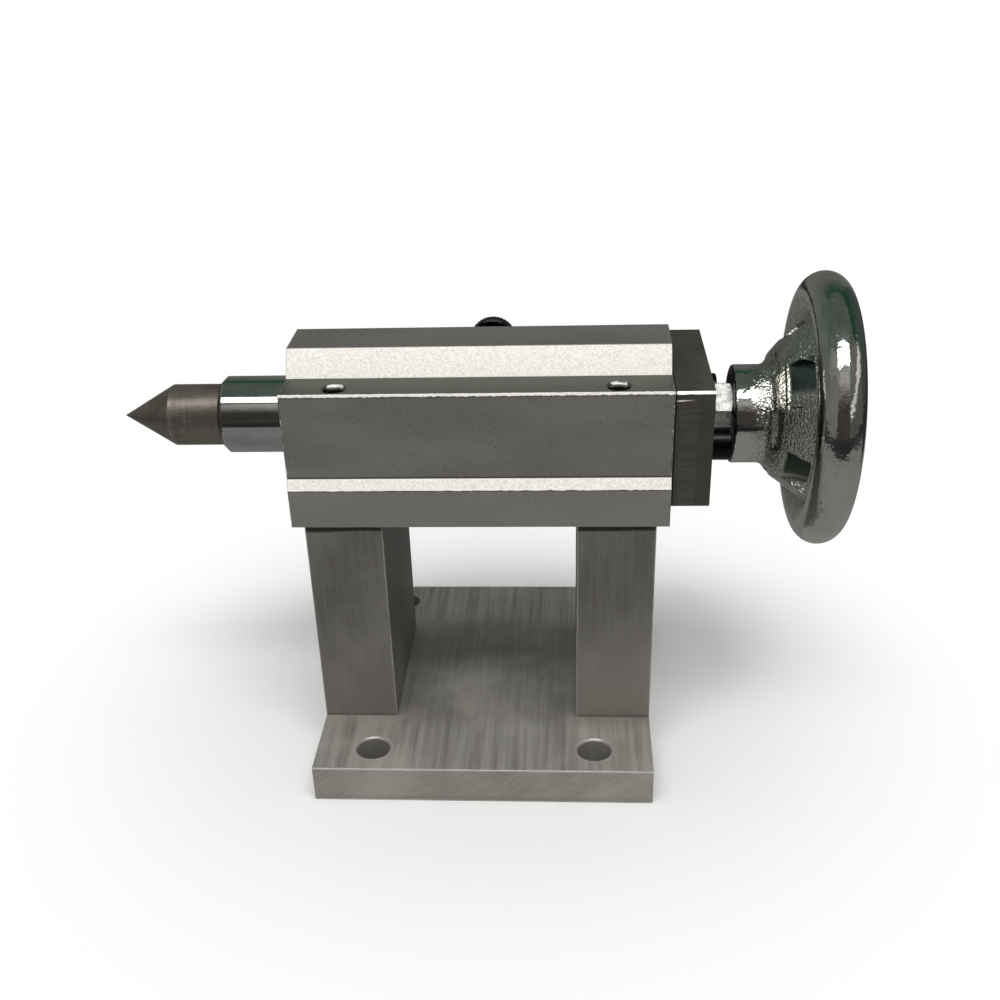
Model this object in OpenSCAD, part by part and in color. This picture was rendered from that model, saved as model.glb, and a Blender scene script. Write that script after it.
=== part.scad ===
// Tailstock with a screw-driven quill on a raised, extruded body.
// Millimetres. The origin is the centre of the base bolt pattern on the plate's underside,
// +X runs along the spindle away from the centre's point, +Z is up.

/* [Base plate] */
// Length of body past each end of the plate
base_short = 4; // [0:0.5:6]
// Width of the plate across the spindle
base_w = 120; // [108:1:150]
// Thickness of the plate
base_t = 13; // [12:0.5:18]
// Diameter of the mounting holes
base_hole_d = 11; // [8:0.5:12]
// Mounting hole to the end of the plate
base_hole_inset_x = 19; // [16:0.5:22]
// Mounting hole to the side of the plate
base_hole_inset_y = 11.5; // [10:0.5:13]
// Chamfer round the top of each mounting hole
base_hole_chamfer = 0.6; // [0.3:0.1:1]

/* [Posts] */
// Thickness of each post along the spindle
post_t = 25; // [22:1:30]
// Width of each post across the spindle
post_w = 60; // [58:1:70]
// Height of each post
post_h = 74; // [60:1:90]

/* [Post bolts] */
// Thread diameter of the long bolts
bolt_d = 8; // [7:0.5:8.5]
// Head diameter of the long bolts
bolt_head_d = 13; // [12:0.5:14]
// Head height of the long bolts
bolt_head_h = 8; // [7:0.5:8.5]
// Hexagon socket of the long bolts, across flats
bolt_socket_af = 6; // [5:0.5:6.5]
// Length of thread inside the housing
bolt_grip = 21.6; // [16:0.4:26]
// Bolt row to the spindle plane
bolt_row_y = 23.5; // [22.5:0.1:23.8]
// Depth of the head's pocket in the plate beyond the head
bolt_head_sink = 0.6; // [0.4:0.1:1.2]

/* [Housing] */
// Length of the extrusion
body_l = 120; // [116:1:130]
// Width across the foot flanges
foot_w = 61; // [60:0.5:66]
// Height of the foot flanges
foot_h = 13; // [10:0.5:15]
// Height of the bevel above the foot flanges
foot_bevel_h = 3.2; // [2:0.1:5]
// Width across the side faces
side_w = 58; // [56:0.5:60]
// Height of the ledges above the foot
ledge_h = 44; // [42:0.5:48]
// Width of the neck where it meets the ledges
neck_w = 30; // [26:0.5:34]
// Width of the flat top
crown_w = 18.4; // [14:0.4:24]
// Height of the flat top above the foot
crown_h = 52.2; // [48:0.2:58]
// Height of the spindle axis above the foot
axis_h = 26.5; // [24:0.5:29]
// Tapping diameter of the open holes in the ledges
ledge_hole_d = 6.8; // [5:0.1:7]
// Chamfer round the ledge holes
ledge_hole_chamfer = 0.7; // [0.3:0.1:1]

/* [Quill] */
// Outer diameter of the quill
quill_d = 25; // [23:0.5:26]
// Length of quill in front of the housing at rest
quill_out = 25; // [22:1:30]
// Chamfer on the quill's front edge
quill_chamfer = 1.7; // [0.5:0.1:2]
// Chamfer on the quill's tail
tail_chamfer = 1; // [0.4:0.1:1.6]
// Travel from rest back into the housing
travel_in = 24; // [12:1:24]
// Travel from rest out of the housing
travel_out = 16; // [10:1:16]
// Width of the guide keyway
keyway_w = 5; // [4:0.5:6]
// Depth of the guide keyway
keyway_depth = 2.5; // [1.5:0.1:3]

/* [Centre] */
// Diameter of the centre's parallel head
centre_d = 20; // [19:0.5:21]
// Length of the parallel head
centre_head_l = 16.7; // [12:0.1:20]
// Full angle of the point
centre_angle = 60; // [50:5:75]
// Large diameter of the self-holding taper
taper_d = 17.78; // [15:0.01:18.5]
// Length of the short taper shank
taper_l = 40; // [32:1:44]
// Diameter lost per millimetre of taper
taper_rate = 0.05; // [0.04:0.002:0.06]

/* [Leadscrew] */
// Chamfer on both ends of the leadscrew
screw_chamfer = 1; // [0.5:0.1:1.5]
// Outer diameter of the screw thread
screw_d = 12; // [11:0.5:13]
// Diameter of the collar that takes the thrust
collar_d = 20; // [18:0.5:22]
// Thickness of the collar
collar_t = 4; // [3:0.5:5]
// Gap between the retracted quill and the collar
collar_gap = 3; // [1:0.5:4]
// Gap between the screw's tip and the retracted centre
tip_gap = 3; // [2:0.5:5]
// Diameter of the journal through the cap
journal_d = 10; // [9:0.5:10.5]
// Diameter of the stub that takes the wheel nut
stub_d = 8; // [7:0.5:8.5]
// Outer diameter of the bronze nut
nut_d = 20; // [19:0.2:20.6]
// Length of the bronze nut
nut_l = 14; // [10:1:14]
// Diameter of the two grub screws in the nut
grub_d = 4; // [3:0.5:5]
// Depth of the grub screws below the quill's skin
grub_sink = 0.4; // [0.2:0.1:0.8]
// Length of the grub screws
grub_l = 4; // [3:0.2:4.6]

/* [Guide screw] */
// Guide screw to the middle of the housing, towards the centre's point
guide_offset = 20; // [18:1:24]
// Thread diameter of the guide screw
guide_d = 6; // [5.5:0.5:8]
// Length of the dog point above the thread
guide_dog_l = 3.5; // [3.4:0.1:5]
// Gap between the dog point and the keyway's floor
guide_dog_gap = 0.3; // [0.2:0.1:0.5]
// Play left at each end of the keyway
keyway_end_play = 0.5; // [0.2:0.1:1]
// Depth of the guide screw below the housing's foot
guide_sink = 1.5; // [0.5:0.1:3]

/* [Thrust bearing] */
// Outer diameter of the bearing
bearing_d = 24; // [22:0.2:24.4]
// Height of the bearing
bearing_t = 9; // [8:0.2:10]
// Thickness of each race
race_t = 2.8; // [2.4:0.1:3]
// Ball diameter
ball_d = 4; // [3:0.1:4.2]
// Number of balls
ball_n = 9; // [7:1:10]
// Thickness of the ball cage
cage_t = 2; // [1.2:0.1:2.4]

/* [Rear cap] */
// Thickness of the cap
cap_t = 12; // [10:0.5:14]
// Height of the cap down from the ledge
cap_h = 38; // [36:0.5:42]
// Chamfer on the cap's outer edges
cap_chamfer = 0.8; // [0.4:0.1:1.5]
// Outer diameter of the bronze bush
bush_d = 14; // [13:0.5:16]
// Cap screw to the spindle plane
cap_screw_y = 23.5; // [21:0.1:24]
// Thread diameter of the cap screws
cap_screw_d = 6; // [4:0.5:6]
// Head diameter of the cap screws
cap_screw_head_d = 10; // [8:0.5:10]
// Head height of the cap screws
cap_screw_head_h = 6; // [5:0.5:6.5]
// Length of the cap screws under the head
cap_screw_l = 20; // [16:1:22]
// Hexagon socket of the cap screws, across flats
cap_screw_af = 5; // [3:0.5:5]

/* [Handwheel] */
// Diameter over the rim
wheel_d = 86.3; // [84:0.1:95]
// Thickness of the round rim
rim_t = 14.1; // [12:0.1:16]
// Hub face to the rim's middle plane
wheel_dish = 28.1; // [26:0.1:32]
// Diameter of the hub
hub_d = 31.4; // [28:0.1:34]
// Length of the hub
hub_l = 24; // [22:0.5:26]
// Parallel length of the hub in front of the dish
hub_neck_l = 9; // [7:0.5:10]
// Thickness of the dish
dish_t = 5.7; // [4:0.1:7]
// Number of windows in the dish
window_n = 5; // [3:1:5]
// Angle taken by each window
window_angle = 34; // [30:1:56]
// Inner radius of the windows
window_r_in = 22.4; // [21:0.1:24]
// Land left between the windows and the rim
window_land = 1.2; // [0.4:0.1:2]
// Chamfer on the hub's front edge
hub_chamfer = 0.8; // [0.4:0.1:1.4]
// Radius the boss behind the dish is smaller by
boss_step = 3; // [2:0.5:5]
// Turn of the first window from straight forward, upwards
first_window = 41; // [0:1:89]

/* [Wheel fixings] */
// Thickness of the washer against the cap
thrust_washer_t = 2; // [1.4:0.1:3]
// Diameter of the washer against the cap
thrust_washer_d = 20; // [18:0.5:21]
// Axial play of the screw in the cap
end_play = 0.1; // [0.05:0.01:0.2]
// Lock nut across flats
lock_nut_af = 17; // [15:0.5:17.5]
// Thickness of the lock nut
lock_nut_t = 6; // [5:0.1:7]
// Width and height of the wheel key
key_w = 3; // [2:0.5:3]
// Length of the wheel key
key_l = 14; // [10:1:18]
// Diameter of the washer outside the wheel
wheel_washer_d = 18; // [16:0.5:24]
// Thickness of the washer outside the wheel
wheel_washer_t = 1.6; // [1:0.1:2]
// Nut outside the wheel, across flats
wheel_nut_af = 13; // [12:0.5:14]
// Height of the nut outside the wheel
wheel_nut_t = 6.5; // [5:0.1:8]
// Length of the stub beyond its nut
stub_over = 2; // [1.5:0.1:3]

/* [Quill lock] */
// Thread diameter of the thumb screw
lock_d = 8; // [6:0.5:9]
// Length of the thumb screw under its head
lock_l = 50; // [40:1:60]
// Diameter of the knurled head
knob_d = 17.4; // [14:0.2:22]
// Thickness of the knurled head
knob_t = 4.7; // [4:0.1:7]
// Number of teeth on the knurled head
knob_teeth = 40; // [24:2:48]
// Length of the brass brake plug
plug_l = 5; // [4:0.5:6]
// Gap between the plug and the quill with the lock open
plug_gap = 0.9; // [0.8:0.05:1]

/* [Fits] */
// Radial clearance of a running fit
run_fit = 0.05; // [0.02:0.01:0.08]
// Radial clearance of a bolt in a clearance hole
bolt_fit = 0.5; // [0.3:0.1:0.7]

/* [Hidden] */
$fn = 96;

// Heights
foot_z = base_t + post_h;
axis_z = foot_z + axis_h;
ledge_z = foot_z + ledge_h;

// Plate and bolts
base_l = body_l - 2 * base_short;
post_x = (base_l - post_t) / 2;
base_hole_x = base_l / 2 - base_hole_inset_x;
base_hole_y = base_w / 2 - base_hole_inset_y;
bolt_seat_z = bolt_head_h + bolt_head_sink;
bolt_tip_z = foot_z + bolt_grip;
thread_clear = 1;
cut = 1;

// Places along the spindle
body_x = body_l / 2;
quill_front_x = -body_x - quill_out;
collar_x = body_x - bearing_t - collar_t;
quill_tail_x = collar_x - collar_gap - travel_in;
quill_l = quill_tail_x - quill_front_x;
shank_end_x = quill_front_x + taper_l;
shank_end_d = taper_d - taper_l * taper_rate;
screw_tip_x = shank_end_x + travel_in + tip_gap;
nut_front_x = quill_tail_x - nut_l;
screw_bore_d = screw_d + 2 * bolt_fit;
cap_outer_x = body_x + cap_t;
cap_mid_z = ledge_z - cap_h / 2;
lock_nut_x = cap_outer_x + thrust_washer_t + end_play;
hub_x = lock_nut_x + lock_nut_t;
hub_end_x = hub_x + hub_l;
stub_end_x = hub_end_x + wheel_washer_t + wheel_nut_t + stub_over;
guide_x = -guide_offset;
keyway_x0 = guide_x - travel_in - keyway_end_play;
keyway_x1 = guide_x + travel_out + keyway_end_play;

// Handwheel section
hub_r = hub_d / 2;
rim_r = rim_t / 2;
rim_mid_r = wheel_d / 2 - rim_r;
rim_x = hub_x + wheel_dish;
window_r_out = rim_mid_r - rim_r - window_land;
bore_r = journal_d / 2 + run_fit;
shoulder_step = [3.6, 3];
neck_pull = [0.2, 1.6];
shoulder_pull = [1.3, 0.5];
cone_pull = [1.6, 1.3];
lip_pull = [3, 4];
rim_bite = 0.8;
lip_rise = sqrt(pow(rim_r - rim_bite, 2) - pow(dish_t / 2, 2));
back_boss_r = hub_r - boss_step;

// Bearing
ball_circle_r = (bearing_d + journal_d) / 4;
ball_mid_x = body_x - bearing_t / 2;

// Quill lock
lock_x = 0;
plug_tail_y = quill_d / 2 + plug_gap + plug_l;
knob_y = plug_tail_y + lock_l;

// A point on a cubic curve through a and d, drawn towards b and c
function curve_point(a, b, c, d, t) =
    a * pow(1 - t, 3) + b * 3 * t * pow(1 - t, 2) + c * 3 * t * t * (1 - t) + d * pow(t, 3);

// A row of points along that curve, without its first point
function curve(a, b, c, d, n) = [for (i = [1 : n]) curve_point(a, b, c, d, i / n)];

// Puts children on the spindle, their Z axis along +X from x
module on_spindle(x) {
    translate([x, 0, axis_z])
        rotate([0, 90, 0])
            children();
}

// A plain ring or disc on the spindle between two places
module ring(x0, x1, d, bore = 0) {
    on_spindle(x0)
        difference() {
            cylinder(h = x1 - x0, d = d);
            if (bore > 0)
                translate([0, 0, -cut])
                    cylinder(h = x1 - x0 + 2 * cut, d = bore);
        }
}

// A hexagonal prism with a bore, standing on z = 0
module hex_prism(af, h, bore = 0) {
    difference() {
        cylinder(h = h, d = af / cos(30), $fn = 6);
        if (bore > 0)
            translate([0, 0, -cut])
                cylinder(h = h + 2 * cut, d = bore);
    }
}

// A hexagon with both ends turned down, as a nut has, standing on z = 0
module turned_nut(af, h, bore) {
    crown = af / 16;
    difference() {
        intersection() {
            hex_prism(af, h);
            rotate_extrude()
                polygon([[0, 0], [af / 2, 0], [af / 2 + 2 * crown, crown],
                    [af / 2 + 2 * crown, h - crown], [af / 2, h], [0, h]]);
        }
        translate([0, 0, -cut])
            cylinder(h = h + 2 * cut, d = bore);
    }
}

// A socket-head screw along +Z: the seat under the head is z = 0, the shank goes up
module socket_screw(d, length, head_d, head_h, socket_af) {
    edge = d / 12;
    difference() {
        rotate_extrude()
            polygon([[0, -head_h], [head_d / 2 - edge, -head_h], [head_d / 2, -head_h + edge],
                [head_d / 2, 0], [d / 2, 0], [d / 2, length - 2 * edge],
                [d / 2 - 2 * edge, length], [0, length]]);
        translate([0, 0, -head_h - cut])
            cylinder(h = head_h / 2 + cut, d = socket_af / cos(30), $fn = 6);
    }
}

// Places of the four long bolts
module at_post_bolts() {
    for (x = [-post_x, post_x], y = [-bolt_row_y, bolt_row_y])
        translate([x, y, 0])
            children();
}

// Places of the two cap screws, their Z axis along -X from the cap's outer face
module at_cap_screws() {
    for (y = [-cap_screw_y, cap_screw_y])
        translate([cap_outer_x, y, cap_mid_z])
            rotate([0, -90, 0])
                children();
}

// Mounting plate with four plain holes and four head pockets underneath
module base_plate() {
    color("#8e887e")
        difference() {
            translate([-base_l / 2, -base_w / 2, 0])
                cube([base_l, base_w, base_t]);
            for (x = [-base_hole_x, base_hole_x], y = [-base_hole_y, base_hole_y])
                translate([x, y, 0]) {
                    translate([0, 0, -cut])
                        cylinder(h = base_t + 2 * cut, d = base_hole_d);
                    translate([0, 0, base_t - base_hole_chamfer])
                        cylinder(h = 2 * base_hole_chamfer, d1 = base_hole_d,
                            d2 = base_hole_d + 4 * base_hole_chamfer);
                }
            at_post_bolts() {
                translate([0, 0, -cut])
                    cylinder(h = base_t + 2 * cut, d = bolt_d + 2 * bolt_fit);
                translate([0, 0, -cut])
                    cylinder(h = bolt_seat_z + cut, d = bolt_head_d + 2 * bolt_fit);
            }
        }
}

// One riser with its two bolt holes
module post(x) {
    color("#7f7a71")
        difference() {
            translate([x - post_t / 2, -post_w / 2, base_t])
                cube([post_t, post_w, post_h]);
            at_post_bolts()
                translate([0, 0, base_t - cut])
                    cylinder(h = post_h + 2 * cut, d = bolt_d + 2 * bolt_fit);
        }
}

module left_post() post(-post_x);

module right_post() post(post_x);

module post_bolts() {
    color("#202020")
        at_post_bolts()
            translate([0, 0, bolt_seat_z])
                socket_screw(bolt_d, bolt_tip_z - bolt_seat_z, bolt_head_d, bolt_head_h, bolt_socket_af);
}

// Half of the extrusion's outline, mirrored to the other side
function body_half() = [[foot_w / 2, 0], [foot_w / 2, foot_h], [side_w / 2, foot_h + foot_bevel_h],
    [side_w / 2, ledge_h], [neck_w / 2, ledge_h], [crown_w / 2, crown_h]];

function mirrored(points) = [for (i = [len(points) - 1 : -1 : 0]) [-points[i][0], points[i][1]]];

// Extruded body: quill bore, bearing pocket, bolt and cap screw holes, guide and lock holes
module housing() {
    color("#b9b9b2")
        difference() {
            translate([-body_x, 0, foot_z])
                rotate([90, 0, 90])
                    linear_extrude(height = body_l)
                        polygon(concat(body_half(), mirrored(body_half())));
            on_spindle(-body_x - cut)
                cylinder(h = body_l + 2 * cut, d = quill_d + 2 * run_fit);
            on_spindle(collar_x - collar_gap)
                cylinder(h = collar_gap + collar_t + bearing_t + cut, d = bearing_d + 2 * bolt_fit);
            at_post_bolts() {
                translate([0, 0, foot_z - cut])
                    cylinder(h = bolt_grip + thread_clear + cut, d = bolt_d + 2 * run_fit);
                translate([0, 0, foot_z])
                    cylinder(h = ledge_h + cut, d = ledge_hole_d);
                translate([0, 0, ledge_z - ledge_hole_chamfer])
                    cylinder(h = 2 * ledge_hole_chamfer, d1 = ledge_hole_d,
                        d2 = ledge_hole_d + 4 * ledge_hole_chamfer);
            }
            at_cap_screws()
                cylinder(h = cap_screw_l + thread_clear, d = cap_screw_d + 2 * run_fit);
            translate([guide_x, 0, foot_z - cut])
                cylinder(h = axis_h, d = guide_d + 2 * run_fit);
            translate([lock_x, 0, axis_z])
                rotate([-90, 0, 0])
                    cylinder(h = foot_w, d = lock_d + 2 * run_fit);
        }
}

// Rear cap: the screw's journal runs in its bush
module rear_cap() {
    color("#3d3a36")
        difference() {
            translate([body_x, -side_w / 2, ledge_z - cap_h])
                cap_block();
            on_spindle(body_x - cut)
                cylinder(h = cap_t + 2 * cut, d = bush_d);
            at_cap_screws()
                translate([0, 0, -cut])
                    cylinder(h = cap_t + 2 * cut, d = cap_screw_d + 2 * bolt_fit);
        }
}

// Block with its four long outer edges broken
module cap_block() {
    w = side_w;
    h = cap_h;
    c = cap_chamfer;
    rotate([90, 0, 90])
        linear_extrude(height = cap_t)
            polygon([[c, 0], [w - c, 0], [w, c], [w, h - c], [w - c, h], [c, h], [0, h - c], [0, c]]);
}

module cap_screws() {
    color("#161616")
        at_cap_screws()
            socket_screw(cap_screw_d, cap_screw_l, cap_screw_head_d, cap_screw_head_h, cap_screw_af);
}

module cap_bush() {
    color("#a9803c")
        ring(body_x, cap_outer_x, bush_d, journal_d + 2 * run_fit);
}

// Barrel with a taper socket in front, a nut seat behind and a guide keyway below
module quill() {
    socket_end_x = shank_end_x + cut;
    socket_end_d = taper_d - (taper_l + cut) * taper_rate;
    color("#c4c4c0")
        difference() {
            on_spindle(quill_front_x)
                rotate_extrude()
                    polygon([[0, 0], [quill_d / 2 - quill_chamfer, 0], [quill_d / 2, quill_chamfer],
                        [quill_d / 2, quill_l - tail_chamfer],
                        [quill_d / 2 - tail_chamfer, quill_l], [0, quill_l]]);
            on_spindle(quill_front_x)
                cylinder(h = socket_end_x - quill_front_x, d1 = taper_d, d2 = socket_end_d);
            on_spindle(socket_end_x - cut)
                cylinder(h = quill_tail_x - socket_end_x + 2 * cut, d = screw_bore_d);
            on_spindle(nut_front_x)
                cylinder(h = nut_l + cut, d = nut_d);
            translate([nut_front_x + nut_l / 2, 0, axis_z])
                rotate([90, 0, 0])
                    cylinder(h = quill_d, d = grub_d, center = true);
            translate([0, 0, axis_z - quill_d / 2 - cut]) {
                translate([keyway_x0, -keyway_w / 2, 0])
                    cube([keyway_x1 - keyway_x0, keyway_w, keyway_depth + cut]);
                for (x = [keyway_x0, keyway_x1])
                    translate([x, 0, 0])
                        cylinder(h = keyway_depth + cut, d = keyway_w);
            }
        }
}

// Centre: parallel head, point and short taper shank
module dead_centre() {
    point_l = centre_d / 2 / tan(centre_angle / 2);
    color("#5a5148")
        on_spindle(quill_front_x)
            rotate_extrude()
                polygon([[0, -centre_head_l - point_l], [centre_d / 2, -centre_head_l],
                    [centre_d / 2, 0], [taper_d / 2, 0], [shank_end_d / 2, taper_l], [0, taper_l]]);
}

module leadscrew_nut() {
    color("#b08a45")
        difference() {
            ring(nut_front_x, quill_tail_x, nut_d, screw_d + 2 * run_fit);
            at_grubs()
                cylinder(h = grub_l, d = grub_d);
        }
}

// Places of the two grub screws, their Z axis outwards
module at_grubs() {
    inner_r = quill_d / 2 - grub_sink - grub_l;
    for (side = [0, 180])
        translate([nut_front_x + nut_l / 2, 0, axis_z])
            rotate([90 + side, 0, 0])
                translate([0, 0, inner_r])
                    children();
}

module nut_set_screws() {
    grub_af = grub_d / 2;
    color("#202020")
        at_grubs()
            difference() {
                cylinder(h = grub_l, d = grub_d);
                translate([0, 0, grub_l / 2])
                    cylinder(h = grub_l, d = grub_af / cos(30), $fn = 6);
            }
}

// Screw whose dog point runs in the quill's keyway
module guide_screw() {
    dog_d = keyway_w - 2 * run_fit;
    dog_top_z = axis_z - quill_d / 2 + keyway_depth - guide_dog_gap;
    thread_top_z = dog_top_z - guide_dog_l;
    color("#202020")
        difference() {
            union() {
                translate([guide_x, 0, foot_z + guide_sink])
                    cylinder(h = thread_top_z - foot_z - guide_sink, d = guide_d);
                translate([guide_x, 0, thread_top_z - cut])
                    cylinder(h = guide_dog_l + cut, d = dog_d);
            }
            translate([guide_x, 0, foot_z + guide_sink - cut])
                cylinder(h = guide_d / 2 + cut, d = guide_d / 2 / cos(30), $fn = 6);
        }
}

// Screw with its thrust collar, journal and threaded stub
module leadscrew() {
    length = stub_end_x - screw_tip_x;
    collar_z = collar_x - screw_tip_x;
    journal_z = collar_z + collar_t;
    stub_z = hub_end_x - screw_tip_x;
    color("#9a9a96")
        difference() {
            on_spindle(screw_tip_x)
                rotate_extrude()
                    polygon([[0, 0], [screw_d / 2 - screw_chamfer, 0], [screw_d / 2, screw_chamfer],
                        [screw_d / 2, collar_z], [collar_d / 2, collar_z], [collar_d / 2, journal_z],
                        [journal_d / 2, journal_z], [journal_d / 2, stub_z], [stub_d / 2, stub_z],
                        [stub_d / 2, length - screw_chamfer],
                        [stub_d / 2 - screw_chamfer, length], [0, length]]);
            key_block(0);
        }
}

// The wheel key's space, grown by a clearance
module key_block(clear) {
    key_x = hub_x + (hub_l - key_l) / 2;
    translate([key_x - clear, -key_w / 2 - clear, axis_z + journal_d / 2 - key_w / 2])
        cube([key_l + 2 * clear, key_w + 2 * clear, key_w + clear]);
}

module wheel_key() {
    color("#8c8c88")
        key_block(0);
}

// One race with its ball groove, its back on z = 0
module race(bore) {
    difference() {
        cylinder(h = race_t, d = bearing_d);
        translate([0, 0, -cut])
            cylinder(h = race_t + 2 * cut, d = bore);
        translate([0, 0, bearing_t / 2])
            rotate_extrude()
                translate([ball_circle_r, 0])
                    circle(r = ball_d / 2 + run_fit);
    }
}

module shaft_race() {
    color("#b5b5b1")
        on_spindle(body_x - bearing_t)
            race(journal_d);
}

module housing_race() {
    color("#b5b5b1")
        translate([body_x, 0, axis_z])
            rotate([0, -90, 0])
                race(journal_d + 2 * bolt_fit);
}

module at_balls() {
    for (i = [0 : ball_n - 1])
        on_spindle(ball_mid_x)
            rotate([0, 0, i * 360 / ball_n])
                translate([ball_circle_r, 0, 0])
                    children();
}

module bearing_balls() {
    color("#d0d0cc")
        at_balls()
            sphere(d = ball_d, $fn = 48);
}

// Flat cage with a pocket for every ball
module ball_cage() {
    color("#b08a45")
        difference() {
            ring(ball_mid_x - cage_t / 2, ball_mid_x + cage_t / 2,
                bearing_d - 2 * bolt_fit, journal_d + 4 * bolt_fit);
            at_balls()
                translate([0, 0, -cage_t])
                    cylinder(h = 2 * cage_t, d = ball_d + 2 * run_fit, $fn = 48);
        }
}

module thrust_washer() {
    color("#b9b9b5")
        ring(cap_outer_x, cap_outer_x + thrust_washer_t, thrust_washer_d, journal_d + 2 * bolt_fit);
}

module lock_nut() {
    nut_turn = 10;
    color("#c9c9c4")
        on_spindle(lock_nut_x)
            rotate([0, 0, nut_turn])
                turned_nut(lock_nut_af, lock_nut_t, journal_d);
}

// Section of hub and dish, as [radius, distance from the hub's face]
function wheel_section() =
    let (
        root = [hub_r, hub_neck_l],
        shoulder = root + shoulder_step,
        lip = [rim_mid_r - lip_rise, wheel_dish - dish_t / 2],
        cone = concat([shoulder], curve(shoulder, shoulder + cone_pull, lip - lip_pull, lip, 8)),
        back = [for (i = [len(cone) - 1 : -1 : 0]) cone[i] + [0, dish_t]]
    )
    concat(
        [[bore_r, 0], [hub_r - hub_chamfer, 0], [hub_r, hub_chamfer], root],
        curve(root, root + neck_pull, shoulder - shoulder_pull, shoulder, 6),
        [for (i = [1 : len(cone) - 1]) cone[i]],
        back,
        [[back_boss_r, shoulder[1] + dish_t], [back_boss_r, hub_l], [bore_r, hub_l]]
    );

// Space of one window, through the dish
module window(angle) {
    depth = wheel_dish + rim_t;
    rotate([0, 0, angle - window_angle / 2])
        rotate_extrude(angle = window_angle)
            translate([window_r_in, 0])
                square([window_r_out - window_r_in, depth]);
}

// Dished wheel: hub and windowed dish turned from one section, round rim
module handwheel() {
    color("#a3a5a2")
        difference() {
            on_spindle(hub_x)
                union() {
                    difference() {
                        rotate_extrude()
                            polygon(wheel_section());
                        for (i = [0 : window_n - 1])
                            window(270 - first_window + i * 360 / window_n);
                    }
                    translate([0, 0, wheel_dish])
                        rotate_extrude()
                            translate([rim_mid_r, 0])
                                circle(r = rim_r);
                }
            key_block(run_fit);
        }
}

module wheel_washer() {
    color("#b9b9b5")
        ring(hub_end_x, hub_end_x + wheel_washer_t, wheel_washer_d, stub_d + 2 * run_fit);
}

module wheel_nut() {
    color("#c9c9c4")
        on_spindle(hub_end_x + wheel_washer_t)
            turned_nut(wheel_nut_af, wheel_nut_t, stub_d);
}

// Thumb screw with a knurled head, in line with the middle of the quill
module lock_screw() {
    tooth = 0.25;
    socket = knob_t / 2;
    color("#1c1c1c")
        translate([lock_x, plug_tail_y, axis_z])
            rotate([-90, 0, 0]) {
                cylinder(h = lock_l + cut, d = lock_d);
                translate([0, 0, lock_l])
                    difference() {
                        rotate_extrude()
                            polygon([[0, 0], [knob_d / 2 - 2 * tooth, 0], [knob_d / 2, 2 * tooth],
                                [knob_d / 2, knob_t - 2 * tooth], [knob_d / 2 - 2 * tooth, knob_t],
                                [0, knob_t]]);
                        for (i = [0 : knob_teeth - 1])
                            rotate([0, 0, i * 360 / knob_teeth])
                                translate([knob_d / 2, 0, -cut])
                                    cylinder(h = knob_t + 2 * cut, r = tooth, $fn = 4);
                        translate([0, 0, knob_t - socket])
                            cylinder(h = socket + cut, d = lock_d / 2 / cos(30), $fn = 6);
                    }
            }
}

// Brass plug, its nose hollowed to the quill's round
module brake_plug() {
    color("#b8923f")
        difference() {
            translate([lock_x, plug_tail_y, axis_z])
                rotate([90, 0, 0])
                    cylinder(h = plug_l + cut, d = lock_d - 2 * run_fit);
            on_spindle(-lock_d)
                cylinder(h = 2 * lock_d, r = quill_d / 2 + plug_gap);
        }
}

base_plate();
left_post();
right_post();
post_bolts();
housing();
rear_cap();
cap_screws();
cap_bush();
quill();
dead_centre();
leadscrew_nut();
nut_set_screws();
guide_screw();
leadscrew();
shaft_race();
housing_race();
bearing_balls();
ball_cage();
thrust_washer();
lock_nut();
handwheel();
wheel_key();
wheel_washer();
wheel_nut();
lock_screw();
brake_plug();
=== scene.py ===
import math

import bmesh
import bpy
from mathutils import Euler, Matrix, Vector


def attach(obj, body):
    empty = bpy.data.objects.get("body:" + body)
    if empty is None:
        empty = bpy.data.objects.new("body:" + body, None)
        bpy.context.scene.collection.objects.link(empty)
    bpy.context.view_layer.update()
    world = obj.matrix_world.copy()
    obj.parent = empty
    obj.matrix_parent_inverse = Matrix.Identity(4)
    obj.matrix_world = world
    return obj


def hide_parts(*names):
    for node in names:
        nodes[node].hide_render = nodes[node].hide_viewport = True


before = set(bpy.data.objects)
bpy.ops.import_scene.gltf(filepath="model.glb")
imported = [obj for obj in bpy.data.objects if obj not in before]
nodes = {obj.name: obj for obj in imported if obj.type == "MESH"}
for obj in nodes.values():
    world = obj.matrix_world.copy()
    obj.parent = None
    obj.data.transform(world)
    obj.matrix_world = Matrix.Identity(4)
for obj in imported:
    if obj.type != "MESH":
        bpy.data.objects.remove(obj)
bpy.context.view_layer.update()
mm = 0.001
axisZ = 113.5  # height of the spindle, mm
print("frame loaded with", len(nodes), "nodes")


# ---- camera ----
cameraLook = {
    "place": (28.598, -380.088, 267.323),  # mm
    "yaw": 4.577, "tilt": 30.453, "roll": 2.234,  # degrees
    "lens": 44.764, "shiftX": 0.0165, "shiftY": 0.0974,
}


def makeCamera(look):
    cam = bpy.data.cameras.new("photoCamera")
    cam.lens = look["lens"]
    cam.sensor_width = 36
    cam.shift_x = look["shiftX"]
    cam.shift_y = look["shiftY"]
    cam.clip_start, cam.clip_end = 0.01, 50
    holder = bpy.data.objects.new("photoCamera", cam)
    bpy.context.scene.collection.objects.link(holder)
    aim = Euler((math.radians(90 - look["tilt"]), 0, math.radians(look["yaw"]))).to_matrix()
    turned = aim @ Matrix.Rotation(math.radians(-look["roll"]), 3, "Z")
    holder.matrix_world = Matrix.Translation(Vector(look["place"]) * mm) @ turned.to_4x4()
    bpy.context.scene.camera = holder


makeCamera(cameraLook)
print("camera in place")


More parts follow.
